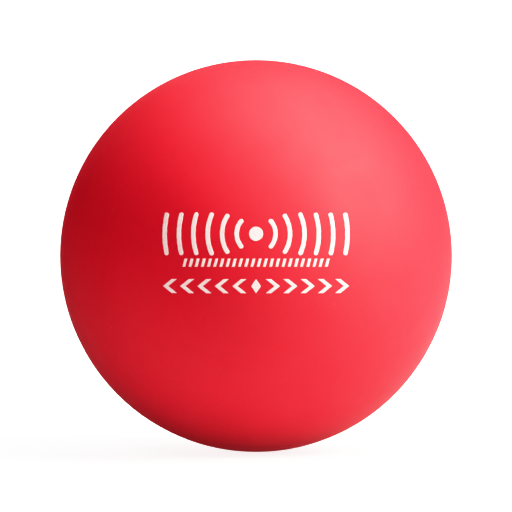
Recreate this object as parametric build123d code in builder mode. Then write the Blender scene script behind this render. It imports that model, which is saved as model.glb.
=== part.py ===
"""Smooth solid-rubber massage ball with a pad-printed mark.

The ball is one solid body with a fine parting line round it on the XZ plane. The mark is
a thin film of ink on the -Y side, in separate islands projected along the Y axis.

Frame: origin at the ball's centre, +Z up, printed side towards -Y. Millimetres.
"""

import math
import os

from build123d import *

# ---- ball ----
ball_d = 62.5
ball_r = ball_d / 2
seam_half_width = 0.28
seam_height = 0.05  # how far the parting line stands proud

# ---- ink film ----
ink_t = 0.05
print_clearance = 1.0  # from the front of the ball to the print plane
print_depth = 8.0  # length of the cutting prisms, back from the print plane

# ---- large motif: a dot between ripple arcs ----
emblem_z = 3.3  # height of its centre
dot_r = 1.05
stroke = 0.66  # line width of the arcs
arc_first = 2.90  # centreline radius of the innermost arc
arc_pitch = 2.16
arc_heights = (4.4, 6.0, 6.4, 6.4, 6.4, 6.4)  # overall heights, from the dot outwards

# ---- row of slanted ticks ----
tick_z = -1.0
tick_h = 1.2
tick_w = 0.42
tick_pitch = 0.925
tick_count = 24
tick_slant = math.radians(15)  # from vertical, tops towards +X

# ---- lower row: chevrons pointing outwards, with a diamond in the middle ----
chevron_z = -4.5
chevron_h = 2.1
chevron_depth = 1.30  # tip to arm end, along X
chevron_band = 0.80  # band width along X
chevron_pitch = 2.60
chevron_tip = 13.95  # distance of the outermost tip from the middle
chevron_count = 5  # on each side
diamond_half_w = 0.72
diamond_half_h = chevron_h / 2

LEFT, RIGHT = -1, 1  # sign of X on each side of the mark

# Local x is +X, local y is +Z.
print_plane = Plane(
    origin=(0, -(ball_r + print_clearance), 0), x_dir=(1, 0, 0), z_dir=(0, -1, 0)
)


def make_ball():
    """Half section turned about Y: two round caps that meet in a low rounded ridge."""
    seam_angle = math.asin(seam_half_width / ball_r)
    edge_x = ball_r * math.cos(seam_angle)
    cap_mid = ball_r * math.sin(math.radians(45))
    front, back = (0, -ball_r), (0, ball_r)
    seam_front, seam_back = (edge_x, -seam_half_width), (edge_x, seam_half_width)

    with BuildPart() as ball:
        with BuildSketch(Plane.XY):
            with BuildLine():
                ThreePointArc(front, (cap_mid, -cap_mid), seam_front)
                ThreePointArc(seam_front, (ball_r + seam_height, 0), seam_back)
                ThreePointArc(seam_back, (cap_mid, cap_mid), back)
                Line(back, front)
            make_face()
        revolve(axis=Axis.Y, revolution_arc=360)
    return ball.part


def make_ink_skin():
    """Thin spherical shell from which every island of ink is cut."""
    with BuildPart() as skin:
        Sphere(ball_r + ink_t)
        Sphere(ball_r, mode=Mode.SUBTRACT)
    return skin.part


def keep_ink():
    """In the open part, keep the skin that lies behind the sketched outlines."""
    extrude(amount=-print_depth)
    add(ink_skin, mode=Mode.INTERSECT)


def make_dot():
    with BuildPart() as dot:
        with BuildSketch(print_plane):
            with Locations((0, emblem_z)):
                Circle(dot_r)
        keep_ink()
    return dot.part


def ripple_arc(index, side):
    """Centreline of one ripple arc, shortened to leave room for its round ends."""
    radius = arc_first + arc_pitch * index
    half_angle = math.degrees(math.asin((arc_heights[index] / 2 - stroke / 2) / radius))
    start = (0 if side == RIGHT else 180) - half_angle
    return CenterArc((0, emblem_z), radius, start, 2 * half_angle, mode=Mode.PRIVATE)


def make_arcs(side):
    # Made before the sketch opens, as a line object can't be made inside one.
    centrelines = [ripple_arc(i, side) for i in range(len(arc_heights))]
    with BuildPart() as arcs:
        with BuildSketch(print_plane):
            for centreline in centrelines:
                SlotArc(centreline, stroke)
        keep_ink()
    return arcs.part


def make_polygons(outlines):
    """Ink islands with straight-sided outlines."""
    with BuildPart() as islands:
        with BuildSketch(print_plane):
            for outline in outlines:
                Polygon(*outline, align=None)
        keep_ink()
    return islands.part


def tick_outline(index):
    """Corners of one slanted tick, counted from the left."""
    x = (index - (tick_count - 1) / 2) * tick_pitch
    lean = tick_h / 2 * math.tan(tick_slant)
    upper, lower = tick_z + tick_h / 2, tick_z - tick_h / 2
    return [
        (x - tick_w / 2 - lean, lower),
        (x + tick_w / 2 - lean, lower),
        (x + tick_w / 2 + lean, upper),
        (x - tick_w / 2 + lean, upper),
    ]


def chevron_outline(index, side):
    """Corners of one chevron, counted from the outermost inwards."""
    tip = chevron_tip - index * chevron_pitch
    arm_end = tip - chevron_depth
    upper, lower = chevron_z + chevron_h / 2, chevron_z - chevron_h / 2
    corners = [
        (tip, chevron_z),
        (arm_end, upper),
        (arm_end - chevron_band, upper),
        (tip - chevron_band, chevron_z),
        (arm_end - chevron_band, lower),
        (arm_end, lower),
    ]
    return [(side * x, y) for x, y in corners]


def make_chevrons(side):
    return make_polygons([chevron_outline(i, side) for i in range(chevron_count)])


diamond_outline = [
    (diamond_half_w, chevron_z),
    (0, chevron_z + diamond_half_h),
    (-diamond_half_w, chevron_z),
    (0, chevron_z - diamond_half_h),
]

ink_skin = make_ink_skin()

pieces = {
    "ball_body": make_ball(),
    "print_dot": make_dot(),
    "print_arcs_left": make_arcs(LEFT),
    "print_arcs_right": make_arcs(RIGHT),
    "print_tick_row": make_polygons([tick_outline(i) for i in range(tick_count)]),
    "print_chevrons_left": make_chevrons(LEFT),
    "print_chevrons_right": make_chevrons(RIGHT),
    "print_diamond": make_polygons([diamond_outline]),
}

os.makedirs("parts", exist_ok=True)
for name, piece in pieces.items():
    piece.label = name
    export_step(piece, f"parts/{name}.step")
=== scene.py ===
# A satin red rubber ball with a white print on its front. The ball is centred on the origin.
# -Y is the front, +X is right and +Z is up. The parting line runs round it in the plane y = 0.
import math

import bmesh
import bpy
import numpy as np
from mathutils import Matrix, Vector


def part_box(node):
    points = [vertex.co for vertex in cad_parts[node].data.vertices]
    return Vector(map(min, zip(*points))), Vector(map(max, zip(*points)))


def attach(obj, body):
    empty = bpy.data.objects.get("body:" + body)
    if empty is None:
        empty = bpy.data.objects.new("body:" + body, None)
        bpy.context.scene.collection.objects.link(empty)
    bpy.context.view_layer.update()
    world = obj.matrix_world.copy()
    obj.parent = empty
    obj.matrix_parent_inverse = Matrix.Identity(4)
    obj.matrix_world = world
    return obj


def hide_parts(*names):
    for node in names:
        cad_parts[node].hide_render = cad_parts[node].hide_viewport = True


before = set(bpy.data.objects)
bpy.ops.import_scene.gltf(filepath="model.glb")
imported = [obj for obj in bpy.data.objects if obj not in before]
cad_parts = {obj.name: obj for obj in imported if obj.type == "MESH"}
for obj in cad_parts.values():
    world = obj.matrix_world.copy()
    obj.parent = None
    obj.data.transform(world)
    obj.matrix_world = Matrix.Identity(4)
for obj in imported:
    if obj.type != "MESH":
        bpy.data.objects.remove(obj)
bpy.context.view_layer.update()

MM = 0.001
ball_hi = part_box("ball_body")[1]
R = ball_hi.y                       # the ball's radius: its poles are on the Y axis
SEAM_H = ball_hi.x - ball_hi.y      # how far the parting line stands proud


# ---- shared helpers ------------------------------------------------------------------
def wave_noise(points, scale, seed, octaves):
    """A sum of sines in fixed directions, about -1 to 1, for points (n, 3) in metres."""
    rng = np.random.RandomState(seed)
    total = np.zeros(len(points))
    gain, power, frequency = 1.0, 0.0, 2 * math.pi / scale
    for _ in range(octaves):
        for _ in range(5):
            way = rng.normal(size=3)
            way /= np.linalg.norm(way)
            stretch = rng.uniform(0.8, 1.25)
            phase = rng.uniform(0, 6.283)
            total += gain * np.sin(points @ way * frequency * stretch + phase)
            power += gain * gain / 2
        frequency *= 2.03
        gain *= 0.55
    return total / (2.0 * math.sqrt(power))


def make_object(name, verts, faces):
    mesh = bpy.data.meshes.new(name)
    mesh.from_pydata([tuple(v) for v in verts], [], [tuple(f) for f in faces])
    mesh.validate()
    mesh.update()
    mesh.polygons.foreach_set("use_smooth", [True] * len(mesh.polygons))
    obj = bpy.data.objects.new(name, mesh)
    bpy.context.scene.collection.objects.link(obj)
    return obj


def grid_quads(index):
    """The quads between the vertex numbers in a 2D array."""
    corners = [index[:-1, :-1], index[1:, :-1], index[1:, 1:], index[:-1, 1:]]
    return np.stack(corners, -1).reshape(-1, 4)


# ---- the ball ------------------------------------------------------------------------
CAP_SIDE = 180                      # quads along each side of a cap
RING = 4 * CAP_SIDE                 # vertices round the parting line
SEAM_HALF_W = 0.28 * MM
BAND_HALF = np.array([0.045, 0.09, 0.14, 0.19, 0.24, 0.28, 0.36, 0.5, 0.8, 1.3])
# the y of each ring in the band round the parting line, from front to back
BAND = np.concatenate([-BAND_HALF[::-1], [0.0], BAND_HALF]) * MM

# bake layout: the band is a strip along the bottom, with the two caps side by side above it
UV_EDGE = 0.005
UV_BAND = (0.99, 0.06)              # width, height
UV_CAP = (0.49, 0.92)
UV_CAP_BOTTOM = 0.075
UV_BACK_LEFT = 0.505


def skin_radius(directions):
    """Radius of the skin along unit directions: a sphere, a few microns uneven."""
    points = directions * R
    return (R + 0.006 * MM * wave_noise(points, 22 * MM, seed=11, octaves=2)
            + 0.0012 * MM * wave_noise(points, 3.1 * MM, seed=12, octaves=2))


def cap_directions(a, b):
    """Unit directions of the front cap: the square grid a, b (-1 to 1) bent onto a disc."""
    with np.errstate(divide="ignore", invalid="ignore"):
        angle_a = math.pi / 4 * np.where(a != 0, b / a, 0.0)
        angle_b = math.pi / 2 - math.pi / 4 * np.where(b != 0, a / b, 0.0)
    a_leads = np.abs(a) >= np.abs(b)
    rho = np.where(a_leads, a, b)
    angle = np.where(a_leads, angle_a, angle_b)
    x, z = rho * np.cos(angle), rho * np.sin(angle)
    reach = np.hypot(x, z)
    theta_edge = math.acos(abs(BAND[0]) / R)
    theta = 2 * np.arcsin(np.clip(reach * math.sin(theta_edge / 2), 0, 1))
    with np.errstate(divide="ignore", invalid="ignore"):
        unit_x = np.where(reach > 0, x / reach, 0.0)
        unit_z = np.where(reach > 0, z / reach, 0.0)
    return np.stack([np.sin(theta) * unit_x, -np.cos(theta), np.sin(theta) * unit_z], 1)


def seam_rings(cos_ring, sin_ring):
    """The vertices of each ring of the band, with the ridge on the parting line."""
    level = np.zeros(RING)
    sideways = np.stack([cos_ring, level, sin_ring], 1)
    around = np.stack([R * cos_ring, level, R * sin_ring], 1)
    # the ridge was trimmed, so its height is never even
    crest = SEAM_H * (0.72 + 0.14 * wave_noise(around, 11 * MM, seed=21, octaves=2))
    crest = np.clip(crest, 0, SEAM_H * 0.98)
    wander = 0.035 * MM * wave_noise(around, 14 * MM, seed=22, octaves=2)
    rings = []
    for y in BAND[1:-1]:
        flat = math.sqrt(1 - (y / R) ** 2)
        out = np.stack([cos_ring * flat, np.full(RING, y / R), sin_ring * flat], 1)
        across = np.clip((y - wander) / SEAM_HALF_W, -1, 1)
        lift = crest * (1 - across * across) ** 1.5
        rings.append(out * skin_radius(out)[:, None] + sideways * lift[:, None])
    return rings


def build_ball():
    steps = np.linspace(-1, 1, CAP_SIDE + 1)
    grid_a, grid_b = (g.ravel() for g in np.meshgrid(steps, steps, indexing="ij"))
    front = cap_directions(grid_a, grid_b)
    back = front * np.array([1, -1, 1])
    cap_count = len(front)
    verts = [front * skin_radius(front)[:, None], back * skin_radius(back)[:, None]]

    # seen from -Y, +X is to the right and +Z up, so the quads in this order face -Y
    index = np.arange((CAP_SIDE + 1) ** 2).reshape(CAP_SIDE + 1, CAP_SIDE + 1)
    front_quads = grid_quads(index)
    back_quads = front_quads[:, ::-1]
    faces = [front_quads, back_quads + cap_count]
    cap_uv = np.stack([(grid_a + 1) / 2, (grid_b + 1) / 2], 1) * UV_CAP
    uvs = [(cap_uv + (UV_EDGE, UV_CAP_BOTTOM))[front_quads],
           (cap_uv + (UV_BACK_LEFT, UV_CAP_BOTTOM))[back_quads]]

    # rim vertices of a cap, in order of angle
    rim = np.concatenate([index[0, :], index[-1, :], index[1:-1, 0], index[1:-1, -1]])
    rim_angle = np.arctan2(front[rim, 2], front[rim, 0])
    order = np.argsort(rim_angle)
    rim, rim_angle = rim[order], rim_angle[order]

    rings = [rim]
    first = 2 * cap_count
    for ring in seam_rings(np.cos(rim_angle), np.sin(rim_angle)):
        verts.append(ring)
        rings.append(np.arange(first, first + RING))
        first += RING
    rings.append(rim + cap_count)

    # the band runs from the front cap to the back one; outward is away from the Y axis
    u_width, v_height = UV_BAND
    v = UV_EDGE + v_height * (BAND - BAND[0]) / (BAND[-1] - BAND[0])
    u = UV_EDGE + u_width * np.arange(RING + 1) / RING
    u0, u1 = u[:-1], u[1:]
    for k in range(len(rings) - 1):
        lo, hi = rings[k], rings[k + 1]
        faces.append(np.stack([lo, hi, np.roll(hi, -1), np.roll(lo, -1)], 1))
        v0, v1 = np.full(RING, v[k]), np.full(RING, v[k + 1])
        uvs.append(np.stack([u0, v0, u0, v1, u1, v1, u1, v0], 1).reshape(-1, 4, 2))

    ball = make_object("rubber_ball", np.vstack(verts), np.vstack(faces).tolist())
    layer = ball.data.uv_layers.new(name="OFBake")
    layer.data.foreach_set("uv", np.concatenate(uvs).astype(np.float32).ravel())
    return ball


# ---- the film of ink -----------------------------------------------------------------
INK_T = 0.050 * MM      # thickness of the film
INK_SINK = 0.020 * MM   # its underside sits this far in the skin, so that no gap shows
EDGE_WOBBLE = 0.022 * MM

# distances in from the film's edge, and the share of the full thickness at each
EDGE_STEPS = np.array([0, 0.010, 0.030, 0.065, 0.13, 0.26, 0.44]) * MM
EDGE_SHARES = [0, 0.55, 0.92, 1.06, 1.0, 0.90, 0.86]
FINE_STEPS = EDGE_STEPS[:5]
SHARE_GAP = 0.08        # least gap, as a share, between the edge steps and the inner ones


def film_height(depth):
    """Height of the film at this distance in from its edge."""
    return INK_T * np.interp(depth, EDGE_STEPS, EDGE_SHARES)


class Film:
    """Closed films of ink laid on the skin, planned in x and z as seen along +Y."""

    def __init__(self, part):
        self.part = part
        self.xz, self.heights, self.faces = [], [], []

    def add_points(self, xz, heights):
        """Adds points and returns the number of the first."""
        first = len(self.xz)
        self.xz += [tuple(p) for p in xz]
        self.heights += list(heights)
        return first

    def add_grid(self, xz, heights):
        """A closed patch: xz (rows, across, 2) and heights (rows, across)."""
        rows, across = heights.shape
        index = np.arange(rows * across).reshape(rows, across)
        flat = xz.reshape(-1, 2)
        top = (index + self.add_points(flat, heights.ravel())).tolist()
        low = (index + self.add_points(flat, [-INK_SINK] * index.size)).tolist()
        add = self.faces.append
        for t0, t1, b0, b1 in zip(top, top[1:], low, low[1:]):
            for j in range(across - 1):
                add((t0[j], t1[j], t1[j + 1], t0[j + 1]))
                add((b0[j], b0[j + 1], b1[j + 1], b1[j]))
            add((t0[0], b0[0], b1[0], t1[0]))
            add((t0[-1], t1[-1], b1[-1], b0[-1]))
        for j in range(across - 1):
            add((top[0][j], top[0][j + 1], low[0][j + 1], low[0][j]))
            add((top[-1][j], low[-1][j], low[-1][j + 1], top[-1][j + 1]))

    def finish(self, material):
        xz, heights = np.array(self.xz), np.array(self.heights)
        y = -np.sqrt(R * R - (xz ** 2).sum(1))
        out = np.stack([xz[:, 0], y, xz[:, 1]], 1) / R
        film = make_object("ink_" + self.part, out * (R + heights)[:, None], self.faces)
        face_outward(film.data)
        share = film.data.attributes.new("film", "FLOAT", "POINT")
        share.data.foreach_set("value", np.clip(heights / INK_T, 0, 1.1).astype(np.float32))
        unwrap_film(film.data, xz)
        film.data.materials.append(material)
        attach(film, "root")
        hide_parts("print_" + self.part)


def face_outward(mesh):
    work = bmesh.new()
    work.from_mesh(mesh)
    bmesh.ops.recalc_face_normals(work, faces=work.faces)
    work.to_mesh(mesh)
    work.free()


def read_values(items, name, shape, kind=float):
    values = np.zeros(shape, kind)
    items.foreach_get(name, values.ravel())
    return values


def unwrap_film(mesh, xz):
    """The bake layout: the film laid flat; a wide, low film has its underside above it."""
    lo, hi = xz.min(0), xz.max(0)
    size = max(hi - lo)
    layer = mesh.uv_layers.new(name="OFBake")
    loops = read_values(mesh.loops, "vertex_index", len(mesh.loops), np.int32)
    uv = 0.01 + 0.98 * (xz[loops] - lo) / size
    if (hi - lo)[1] / size < 0.45:
        count = len(mesh.polygons)
        normals = read_values(mesh.polygons, "normal", (count, 3))
        centres = read_values(mesh.polygons, "center", (count, 3))
        corners = read_values(mesh.polygons, "loop_total", count, np.int32)
        under = (normals * centres).sum(1) < -0.2 * R
        uv[np.repeat(under, corners), 1] += 0.5
    layer.data.foreach_set("uv", np.clip(uv, 0, 1).astype(np.float32).ravel())


def wobble(xz, seed):
    """Small outward push of the printed edge at these x, z points."""
    points = np.stack([xz[:, 0], np.zeros(len(xz)), xz[:, 1]], 1)
    return EDGE_WOBBLE * wave_noise(points, 0.9 * MM, seed, octaves=3)


# ---- shapes of film ------------------------------------------------------------------
PLATE_STEP = 0.08 * MM      # along the sides of a cornered plate
ARC_STEP = 0.10 * MM        # along an arc
BAR_STEP = 0.09 * MM        # between the rows of a bar
CORNER_GAP = 0.02 * MM      # rows nearer than this to a bar's corner give way to it
DISC_STEPS = 72             # round a disc
ROUND_END_STEPS = 16        # round the end of an arc


def stroke_shares(half_width):
    """Places across a stroke, -1 to 1, with fine steps near both edges."""
    depth = FINE_STEPS[FINE_STEPS < half_width * 0.72]
    side = 1 - depth / half_width
    right = list(side) + [s for s in (0.55, 0.28) if s < side[-1] - SHARE_GAP]
    return np.array([-s for s in right] + [0.0] + right[::-1])


def lay_stroke(centre, across, half_width, shares, seed):
    """Points (n, shares, 2) of a stroke on a centreline (n, 2), and their depths from its edge."""
    left = half_width + wobble(centre - across * half_width, seed)
    right = half_width + wobble(centre + across * half_width, seed + 50)
    width = np.where(shares[None, :] < 0, left[:, None], right[:, None])
    offset = (shares[None, :] * width)[:, :, None]
    xz = centre[:, None, :] + across[:, None, :] * offset
    return xz, (1 - np.abs(shares))[None, :] * width


def round_rim(middle, radius):
    angle = np.linspace(0, 2 * math.pi, DISC_STEPS, endpoint=False)
    return middle + radius * np.stack([np.cos(angle), np.sin(angle)], 1)


def cornered_rim(corners):
    rim = []
    for start, end in zip(corners, np.roll(corners, -1, axis=0)):
        count = max(6, int(np.linalg.norm(end - start) / PLATE_STEP))
        rim += [start + (end - start) * j / count for j in range(count)]
    return np.array(rim)


def add_plate(film, middle, rim, reach, seed):
    """A convex plate as rings from the rim in; reach is the middle's distance from the edge."""
    out = rim - middle
    unit = out / np.linalg.norm(out, axis=1)[:, None]
    rim = rim + unit * wobble(rim, seed)[:, None]
    depth = EDGE_STEPS[EDGE_STEPS < reach * 0.85]
    shares = list(1 - depth / reach)
    shares += [s for s in (0.45, 0.25, 0.1) if s < shares[-1] - SHARE_GAP]

    count = len(rim)
    rings = []
    for share in shares:
        height = float(film_height((1 - share) * reach))
        first = film.add_points(middle + (rim - middle) * share, [height] * count)
        rings.append(range(first, first + count))
    top_middle = film.add_points([middle], [INK_T * EDGE_SHARES[-1]])
    low = film.add_points(rim, [-INK_SINK] * count)
    low_middle = film.add_points([middle], [-INK_SINK])

    following = [(j, (j + 1) % count) for j in range(count)]
    for outer, inner in zip(rings, rings[1:]):
        film.faces += [(outer[j], outer[n], inner[n], inner[j]) for j, n in following]
    film.faces += [(rings[-1][j], rings[-1][n], top_middle) for j, n in following]
    for j, n in following:
        film.faces.append((rings[0][j], low + j, low + n, rings[0][n]))
        film.faces.append((low + n, low + j, low_middle))


def add_round_end(film, row, centre, across, along, half_widths, shares, seed):
    """Fans half rings round the end row of a stroke; returns the new outline vertices."""
    half = len(shares) // 2
    depths = 1 - np.abs(shares[:half])
    left, right = half_widths
    fan = [row[:half + 1]]
    for angle in np.linspace(0, math.pi, ROUND_END_STEPS + 1)[1:-1]:
        direction = -across * math.cos(angle) + along * math.sin(angle)
        width = left + (right - left) * angle / math.pi
        push = wobble((centre + direction * width)[None, :], seed + 7)[0]
        width = width + push * math.sin(angle)
        spoke = [centre + direction * width * (1 - depth) for depth in depths]
        first = film.add_points(spoke, film_height(depths * width))
        fan.append([*range(first, first + half), row[half]])
    fan.append(row[::-1][:half + 1])
    for here, after in zip(fan, fan[1:]):
        for j in range(half - 1):
            film.faces.append((here[j], after[j], after[j + 1], here[j + 1]))
        film.faces.append((here[half - 1], after[half - 1], row[half]))
    return [spoke[0] for spoke in fan[1:-1]]


def add_arc(film, middle, radius, half_angle, side, half_width, seed):
    """An arc with round ends, centred on the +X (side 1) or -X (side -1) direction."""
    count = max(12, int(2 * half_angle * radius / ARC_STEP))
    angle = np.linspace(-half_angle, half_angle, count)
    if side < 0:
        angle = math.pi - angle
    across = np.stack([np.cos(angle), np.sin(angle)], 1)
    centre = middle + radius * across
    shares = stroke_shares(half_width)
    xz, depth = lay_stroke(centre, across, half_width, shares, seed)

    first_face = len(film.faces)
    top = film.add_points(xz.reshape(-1, 2), film_height(depth).ravel())
    index = np.arange(depth.size).reshape(depth.shape) + top
    film.faces += grid_quads(index).tolist()

    def end(i, way):
        along = np.array([-across[i][1], across[i][0]]) * side * way
        half_widths = [np.linalg.norm(xz[i, j] - centre[i]) for j in (0, -1)]
        return add_round_end(film, index[i].tolist(), centre[i], across[i], along,
                             half_widths, shares, seed)

    far_end = end(count - 1, 1.0)
    near_end = end(0, -1.0)
    outline = index[:, 0].tolist() + far_end + index[::-1, -1].tolist() + near_end[::-1]

    # the underside copies the whole top sheet, and a wall joins the two outlines
    sheet = film.faces[first_face:]
    points = film.xz[top:]
    drop = film.add_points(points, [-INK_SINK] * len(points)) - top
    film.faces += [tuple(v + drop for v in face[::-1]) for face in sheet]
    for p, q in zip(outline, outline[1:] + outline[:1]):
        film.faces.append((p, q, q + drop, p + drop))


def level_rows(z_lo, z_hi, corner=None):
    """Heights of a bar's rows, fine near both ends, with one on the corner if there is one."""
    margin = FINE_STEPS[-1]
    count = max(3, int((z_hi - z_lo) / BAR_STEP))
    inner = np.linspace(z_lo + margin, z_hi - margin, count)[1:-1]
    z = np.concatenate([z_lo + FINE_STEPS, inner, (z_hi - FINE_STEPS)[::-1]])
    if corner is not None:
        z = np.concatenate([z[np.abs(z - corner) > CORNER_GAP], [corner]])
    return np.unique(z)


def add_bar(film, x, z, half_x, z_lo, z_hi, seed):
    """A bar with level ends on the centreline x, z; it reaches half_x each way in x."""
    cos_lean = 1 / np.sqrt(1 + np.gradient(x, z) ** 2)
    shares = stroke_shares(half_x * float(cos_lean.mean()))
    across = np.array([[1.0, 0.0]])
    xz, depth = lay_stroke(np.stack([x, z], 1), across, half_x, shares, seed)
    from_end = np.maximum(np.minimum(z - z_lo, z_hi - z), 0)
    depth = np.minimum(depth * cos_lean[:, None], from_end[:, None])
    film.add_grid(xz, film_height(depth))


# ---- the print -----------------------------------------------------------------------
SIDES = ((-1, "left"), (1, "right"))

ARC_STROKE = 0.66 * MM
ARC_FIRST_R = 2.90 * MM
ARC_PITCH = 2.16 * MM
ARC_HEIGHTS = np.array([4.4, 6.0, 6.4, 6.4, 6.4, 6.4]) * MM     # overall, inner arc first

TICKS = 24
TICK_PITCH = 0.925 * MM
TICK_HALF_X = 0.21 * MM
TICK_LEAN = math.radians(15)

CHEVRONS = 5                    # on each side
CHEVRON_PITCH = 2.60 * MM
CHEVRON_HALF_X = 0.40 * MM
CHEVRON_SWEEP = 1.30 * MM       # from the tip of the centreline to its ends, in x


def z_span(node):
    """Bottom, middle and top of a CAD node."""
    lo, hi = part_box(node)
    return lo.z, (lo.z + hi.z) / 2, hi.z


def build_dot(ink):
    z_lo, z_mid, z_hi = z_span("print_dot")
    middle, radius = np.array([0.0, z_mid]), (z_hi - z_lo) / 2
    film = Film("dot")
    add_plate(film, middle, round_rim(middle, radius), radius, seed=103)
    film.finish(ink)


def build_arcs(ink, side, side_name):
    """The arcs on one side of the dot, centred on it."""
    middle = np.array([0.0, z_span("print_dot")[1]])
    film = Film("arcs_" + side_name)
    for i, height in enumerate(ARC_HEIGHTS):
        radius = ARC_FIRST_R + ARC_PITCH * i
        half_angle = math.asin((height / 2 - ARC_STROKE / 2) / radius)
        seed = 110 + 9 * i + (60 if side > 0 else 0)
        add_arc(film, middle, radius, half_angle, side, ARC_STROKE / 2, seed)
    film.finish(ink)


def build_ticks(ink):
    z_lo, z_mid, z_hi = z_span("print_tick_row")
    z = level_rows(z_lo, z_hi)
    film = Film("tick_row")
    for i in range(TICKS):
        x = (i - (TICKS - 1) / 2) * TICK_PITCH + (z - z_mid) * math.tan(TICK_LEAN)
        add_bar(film, x, z, TICK_HALF_X, z_lo, z_hi, seed=200 + i)
    film.finish(ink)


def build_chevrons(ink, side, side_name):
    """Chevrons that point away from the middle, outermost first."""
    part = "chevrons_" + side_name
    lo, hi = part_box("print_" + part)
    tip = hi.x if side > 0 else -lo.x
    z_lo, z_mid, z_hi = z_span("print_" + part)
    z = level_rows(z_lo, z_hi, corner=z_mid)
    sweep = CHEVRON_SWEEP * np.abs(z - z_mid) / ((z_hi - z_lo) / 2)
    film = Film(part)
    for i in range(CHEVRONS):
        x = side * (tip - i * CHEVRON_PITCH - CHEVRON_HALF_X - sweep)
        seed = 300 + 10 * i + (5 if side > 0 else 0)
        add_bar(film, x, z, CHEVRON_HALF_X, z_lo, z_hi, seed)
    film.finish(ink)


def build_diamond(ink):
    lo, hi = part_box("print_diamond")
    z_lo, z_mid, z_hi = z_span("print_diamond")
    middle = np.array([0.0, z_mid])
    corners = np.array([(hi.x, z_mid), (0, z_hi), (lo.x, z_mid), (0, z_lo)])
    edge, spoke = corners[1] - corners[0], middle - corners[0]
    reach = abs(edge[0] * spoke[1] - edge[1] * spoke[0]) / np.linalg.norm(edge)
    film = Film("diamond")
    add_plate(film, middle, cornered_rim(corners), reach, seed=400)
    film.finish(ink)


def build_print(ink):
    build_dot(ink)
    for side in SIDES:
        build_arcs(ink, *side)
    build_ticks(ink)
    for side in SIDES:
        build_chevrons(ink, *side)
    build_diamond(ink)


# ---- materials -----------------------------------------------------------------------
class Graph:
    """A node tree, with short calls that add a node and set or link its inputs."""

    def __init__(self, tree):
        self.tree = tree

    def feed(self, node, inputs):
        """Links the inputs given as sockets and sets the rest."""
        for key, value in inputs.items():
            if isinstance(value, bpy.types.NodeSocket):
                self.tree.links.new(value, node.inputs[key])
            else:
                node.inputs[key].default_value = value

    def add(self, kind, inputs=None, **settings):
        node = self.tree.nodes.new("ShaderNode" + kind)
        for name, value in settings.items():
            setattr(node, name, value)
        self.feed(node, inputs or {})
        return node.outputs

    def math(self, operation, *values, **settings):
        inputs = dict(enumerate(values))
        return self.add("Math", inputs, operation=operation, **settings)[0]

    def scale(self, value, by, plus=None, **settings):
        if plus is None:
            return self.math("MULTIPLY", value, by, **settings)
        return self.math("MULTIPLY_ADD", value, by, plus, **settings)

    def noise(self, place, scale, detail, roughness, distortion=0.0):
        return self.add("TexNoise", {"Vector": place, "Scale": scale, "Detail": detail,
                                     "Roughness": roughness, "Distortion": distortion})["Fac"]

    def remap(self, value, start=(0.0, 1.0), to=(0.0, 1.0), kind="LINEAR"):
        return self.add("MapRange", {"Value": value, "From Min": start[0], "From Max": start[1],
                                     "To Min": to[0], "To Max": to[1]},
                        interpolation_type=kind)["Result"]

    def bump(self, height_mm):
        return self.add("Bump", {"Strength": 1.0, "Distance": MM, "Height": height_mm})["Normal"]


def new_material(name):
    material = bpy.data.materials.new(name)
    material.use_nodes = True
    return material, Graph(material.node_tree)


def rubber_colour(graph, place, speck):
    # pigment: a slow drift through the rubber, and a finer mottle
    slow = graph.noise(place, scale=70.0, detail=3.0, roughness=0.5)
    fine = graph.noise(place, scale=900.0, detail=4.0, roughness=0.6)
    mottle = graph.scale(fine, by=0.45, plus=graph.scale(slow, by=0.55))
    tone = graph.tree.nodes.new("ShaderNodeValToRGB")
    graph.feed(tone, {"Fac": mottle})
    low, high = tone.color_ramp.elements
    low.position, low.color = 0.30, (0.670, 0.0062, 0.0262, 1)
    high.position, high.color = 0.70, (0.730, 0.0074, 0.0294, 1)
    # inputs 6 and 7 are the colours to mix; the second is that of the dust
    return graph.add("Mix", {"Factor": graph.scale(speck, by=0.05), 6: tone.outputs["Color"],
                             7: (0.80, 0.45, 0.45, 1)}, data_type="RGBA")[2]


def dust_specks(graph, place):
    """1 on sparse specks of dust caught in the surface, 0 elsewhere."""
    cells = graph.add("TexVoronoi", {"Vector": place, "Scale": 330.0, "Randomness": 1.0})
    pick = graph.add("SeparateColor", {0: cells["Color"]})
    largest, rarity = 0.075, 0.62       # in cells; the share of cells that have none
    near = graph.math("LESS_THAN", cells["Distance"], graph.scale(pick[1], by=largest))
    rare = graph.math("GREATER_THAN", pick[0], rarity)
    return graph.scale(near, by=rare)


def buffed_strip(graph, place):
    """1 beside the parting line, where trimming buffed the rubber, with a ragged edge."""
    away = graph.math("ABSOLUTE", graph.add("SeparateXYZ", {0: place})["Y"])
    ragged = graph.noise(place, scale=420.0, detail=3.0, roughness=0.6)
    reach = graph.scale(ragged, by=0.0011, plus=0.00030)
    ratio = graph.math("DIVIDE", away, reach)
    return graph.remap(ratio, start=(0.6, 1.1), to=(1.0, 0.0), kind="SMOOTHSTEP")


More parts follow.
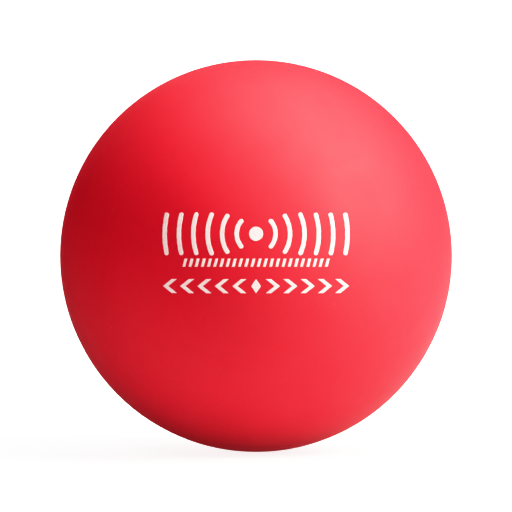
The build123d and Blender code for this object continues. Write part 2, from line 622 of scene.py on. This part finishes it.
def rubber_material():
    material, graph = new_material("satin_red_rubber")
    place = graph.add("TexCoord")["Object"]
    speck = dust_specks(graph, place)
    buffed = buffed_strip(graph, place)

    # satin: roughness drifts, with faint cloudy handling marks
    cloud = graph.noise(place, scale=120.0, detail=5.0, roughness=0.62, distortion=0.6)
    satin = graph.remap(cloud, start=(0.3, 0.7), to=(0.665, 0.735))

    # relief: the blasted mould's grain, a little orange peel, buffing lines and the specks
    grain = graph.noise(place, scale=5200.0, detail=2.0, roughness=0.55)
    peel = graph.noise(place, scale=650.0, detail=2.0, roughness=0.5)
    stretched = graph.add("Mapping", {"Vector": place, "Scale": (1.0, 9.0, 1.0)})[0]
    lines = graph.noise(stretched, scale=900.0, detail=3.0, roughness=0.6)
    relief = graph.scale(grain, by=0.0035)
    relief = graph.scale(peel, by=0.0060, plus=relief)
    relief = graph.scale(graph.scale(lines, by=buffed), by=0.006, plus=relief)
    relief = graph.scale(speck, by=0.006, plus=relief)

    graph.feed(graph.tree.nodes["Principled BSDF"], {
        "Base Color": rubber_colour(graph, place, speck),
        "Roughness": graph.scale(buffed, by=0.12, plus=satin),
        "Normal": graph.bump(relief),
        "IOR": 1.47,
    })
    return material


def ink_material():
    material, graph = new_material("white_pad_print_ink")
    place = graph.add("TexCoord")["Object"]
    film = graph.add("Attribute", attribute_name="film")["Fac"]

    # the film is thinner mid-stroke and in cloudy patches, and the red shows through there
    cloud = graph.noise(place, scale=1500.0, detail=4.0, roughness=0.65)
    patch = graph.noise(place, scale=260.0, detail=2.0, roughness=0.5)
    cloudy = graph.remap(cloud, start=(0.40, 0.72))
    patchy = graph.remap(patch, start=(0.35, 0.75), to=(0.25, 1.0))
    mid_stroke = graph.remap(film, start=(0.84, 1.04), to=(1.0, 0.25))
    # painted shade: the film is made thinner, and so pinker, towards the -X side, which gets less
    # light
    x = graph.add("SeparateXYZ", {0: place})["X"]
    painted_shade_side = graph.remap(x, start=(-0.0160, 0.0060), to=(1.40, 1.20), kind="SMOOTHSTEP")
    thin = graph.scale(cloudy, by=graph.scale(patchy, by=painted_shade_side))
    thin = graph.scale(thin, by=mid_stroke)
    thin = graph.scale(thin, by=0.85, plus=0.06, use_clamp=True)
    # input 6 is the colour of full ink and 7 that of thin ink
    colour = graph.add("Mix", {"Factor": thin, 6: (0.960, 0.765, 0.765, 1),
                               7: (0.900, 0.480, 0.495, 1)}, data_type="RGBA")[2]

    grain = graph.noise(place, scale=3800.0, detail=3.0, roughness=0.6)
    graph.feed(graph.tree.nodes["Principled BSDF"], {
        "Base Color": colour,
        "Roughness": graph.remap(cloud, to=(0.50, 0.66)),
        "Normal": graph.bump(graph.scale(grain, by=0.008)),
        "IOR": 1.45,
    })
    return material


def grey(level):
    return (level, level, level, 1)


def floor_material():
    """A pale sheet on a lit table, which looks different to the ball and to the camera."""
    material, graph = new_material("pale_floor")
    graph.tree.nodes.clear()

    # as the ball sees it
    glow = graph.add("Attribute", attribute_name="glow")["Fac"]
    lit = graph.add("Emission", {"Color": grey(1), "Strength": glow})[0]
    bounce = graph.add("BsdfDiffuse", {"Color": grey(0.30)})[0]
    to_ball = graph.add("AddShader", {0: bounce, 1: lit})[0]

    # as the camera sees it: over-exposed to white, with a trace of the ball's soft shadow
    position = graph.add("NewGeometry")["Position"]
    far = graph.add("VectorMath", {0: position}, operation="LENGTH")["Value"]
    fade = graph.remap(far, start=(0.09, 0.40), to=(0.90, 2.20), kind="SMOOTHSTEP")
    sheet = graph.add("BsdfDiffuse", {"Color": grey(0.86)})[0]
    over = graph.add("Emission", {"Color": grey(1), "Strength": fade})[0]
    to_camera = graph.add("AddShader", {0: sheet, 1: over})[0]

    seen = graph.add("LightPath")["Is Camera Ray"]
    mix = graph.add("MixShader", {0: seen, 1: to_ball, 2: to_camera})[0]
    graph.add("OutputMaterial", {"Surface": mix})
    return material


# ---- studio --------------------------------------------------------------------------
# grid lines of the floor in x and in y, closer together near the ball
FLOOR_LINES = np.concatenate([
    [-3.0, -1.0, -0.5, -0.3], np.arange(-0.20, -0.0601, 0.010),
    np.arange(-0.056, 0.0561, 0.004), np.arange(0.06, 0.2001, 0.010), [0.3, 0.5, 1.0, 3.0]])

WHITE = 2.2             # scene light that reaches full white

# soft round panels: azimuth from the front towards the right and elevation, in degrees,
# width in metres, then the light that fills the body colour and the light of the sheen
PANELS = [
    (67.5, 24.0, 0.22, 1.288, 2.750), (77.1, 42.0, 0.24, 2.038, 1.880),
    (72.0, 60.0, 0.26, 2.208, 0.596), (90.0, 76.0, 0.24, 0.399, 1.912),
    (51.4, 42.0, 0.24, 1.109, 1.060), (67.5, 7.0, 0.16, 0.000, 2.035),
    (36.0, 60.0, 0.26, 0.000, 1.082), (180.0, 14.0, 0.22, 1.000, 0.000),
    (180.0, 60.0, 0.26, 0.703, 0.080), (200.0, 2.0, 0.22, 0.771, 0.000),
    (0.0, 90.0, 0.24, 0.334, 0.423), (0.0, 7.0, 0.16, 0.604, 0.000),
    (270.0, 7.0, 0.16, 0.487, 0.000), (334.3, 42.0, 0.24, 0.467, 0.000),
    (198.0, 35.0, 0.22, 0.400, 0.000), (0.0, 42.0, 0.24, 0.257, 0.000),
    (45.0, 24.0, 0.22, 0.000, 0.229), (162.0, 76.0, 0.24, 0.204, 0.000),
    (234.0, 76.0, 0.24, 0.000, 0.120), (220.0, 2.0, 0.22, 0.119, 0.000),
    (18.0, 76.0, 0.24, 0.000, 0.044),
]
PANEL_DISTANCE = 0.70
KEY_AZIMUTHS = (40.0, 100.0)        # panels between these are tinted
KEY_TINT = {"fill": (1.0, 1.05, 0.90), "sheen": (1.0, 1.05, 0.92)}

CAMERA_Y = -0.4544

TOE, KNEE = 0.05, 0.7               # where the tone curve's dark and bright ends bend
# scene light at the tone curve's inner points
TONE_POINTS = [0.006, 0.012, 0.02, 0.03, 0.045, 0.07, 0.1, 0.15, 0.22, 0.32,
               0.45, 0.6, 0.7, 0.8, 0.95, 1.15, 1.4, 1.7, 2.0]


def floor_glow(x, y):
    """Light that the sheet gives back to the ball."""
    # brighter towards the back, and only to the right
    backward = 1.18 + 0.60 * np.tanh((y + 0.058) / 0.055)
    ramp = backward / (1 + np.exp(-np.clip((x - 0.015) / 0.021, -60, 60)))
    # a soft strip in front
    strip = 0.72 * np.exp(-((x + 0.020) / 0.076) ** 2 - ((y + 0.030) / 0.013) ** 2)
    # dark close under the ball
    shade = 1 - 0.52 * np.exp(-(x ** 2 + y ** 2) / 0.033 ** 2)
    return (ramp + strip) * shade


def build_floor():
    x, y = (g.ravel() for g in np.meshgrid(FLOOR_LINES, FLOOR_LINES, indexing="ij"))
    z = -(R + SEAM_H)
    count = len(FLOOR_LINES)
    quads = grid_quads(np.arange(count * count).reshape(count, count)).tolist()
    mesh = bpy.data.meshes.new("floor")
    mesh.from_pydata([(px, py, z) for px, py in zip(x, y)], [], quads)
    glow = mesh.attributes.new("glow", "FLOAT", "POINT")
    glow.data.foreach_set("value", floor_glow(x, y).astype(np.float32))
    floor = bpy.data.objects.new("floor", mesh)
    bpy.context.scene.collection.objects.link(floor)
    mesh.materials.append(floor_material())


def build_world():
    """White to the camera, and dark to everything else."""
    world = bpy.data.worlds.new("studio")
    bpy.context.scene.world = world
    world.use_nodes = True
    graph = Graph(world.node_tree)
    graph.tree.nodes.clear()
    seen = graph.add("LightPath")["Is Camera Ray"]
    white = graph.add("Background", {"Color": grey(1), "Strength": WHITE})[0]
    dark = graph.add("Background", {"Color": grey(0), "Strength": 0.0})[0]
    mix = graph.add("MixShader", {0: seen, 1: dark, 2: white})[0]
    graph.add("OutputWorld", {"Surface": mix})


def add_panel(kind, number, azimuth, elevation, width, power):
    """A disc light aimed at the ball, seen only in its body colour or only in its sheen."""
    name = f"{kind}_{number:02d}"
    light = bpy.data.lights.new(name, "AREA")
    light.shape = "DISK"
    light.size = width
    light.energy = power * math.pi * PANEL_DISTANCE ** 2
    if KEY_AZIMUTHS[0] < azimuth < KEY_AZIMUTHS[1]:
        light.color = KEY_TINT[kind]
    a, e = math.radians(azimuth), math.radians(elevation)
    away = Vector((math.sin(a) * math.cos(e), -math.cos(a) * math.cos(e), math.sin(e)))
    panel = bpy.data.objects.new(name, light)
    panel.location = away * PANEL_DISTANCE
    panel.rotation_mode = "QUATERNION"
    panel.rotation_quaternion = away.to_track_quat("Z", "Y")
    panel.visible_camera = False
    panel.visible_glossy = kind == "sheen"
    panel.visible_diffuse = kind == "fill"
    bpy.context.scene.collection.objects.link(panel)


def build_lights():
    for number, (azimuth, elevation, width, fill, sheen) in enumerate(PANELS):
        for kind, power in (("fill", fill), ("sheen", sheen)):
            if power > 0:
                add_panel(kind, number, azimuth, elevation, width, power)


def build_camera():
    lens = bpy.data.cameras.new("camera")
    lens.lens = 200.0
    lens.sensor_width = 36.0
    lens.clip_start = 0.01
    camera = bpy.data.objects.new("camera", lens)
    camera.location = (0.0, CAMERA_Y, 0.0)
    camera.rotation_euler = (math.pi / 2, 0, 0)
    bpy.context.scene.collection.objects.link(camera)
    bpy.context.scene.camera = camera


def tone(light):
    """Picture value of scene light, with a soft toe and shoulder."""
    value = light * light / (light + TOE) * (1 + TOE)
    if value > KNEE:
        value = KNEE + (1 - KNEE) * (1 - math.exp(-(value - KNEE) / (1 - KNEE)))
    return value


def set_tone():
    view = bpy.context.scene.view_settings
    view.view_transform = "Standard"
    view.look = "None"
    view.exposure = 0.0
    view.gamma = 1.0
    view.use_curve_mapping = True
    curves = view.curve_mapping
    curves.use_clip = False
    curves.extend = "HORIZONTAL"
    curves.white_level = (WHITE, WHITE, WHITE)
    combined = curves.curves[3]
    combined.points[0].location = (0.0, 0.0)
    combined.points[-1].location = (1.0, 1.01)
    for light in TONE_POINTS:
        combined.points.new(light / WHITE, tone(light))
    for point in combined.points:
        point.handle_type = "AUTO_CLAMPED"
    curves.update()


# ---- build ---------------------------------------------------------------------------
ball = build_ball()
ball.data.materials.append(rubber_material())
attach(ball, "root")
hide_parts("ball_body")
build_print(ink_material())

build_floor()
build_world()
build_lights()
build_camera()
set_tone()
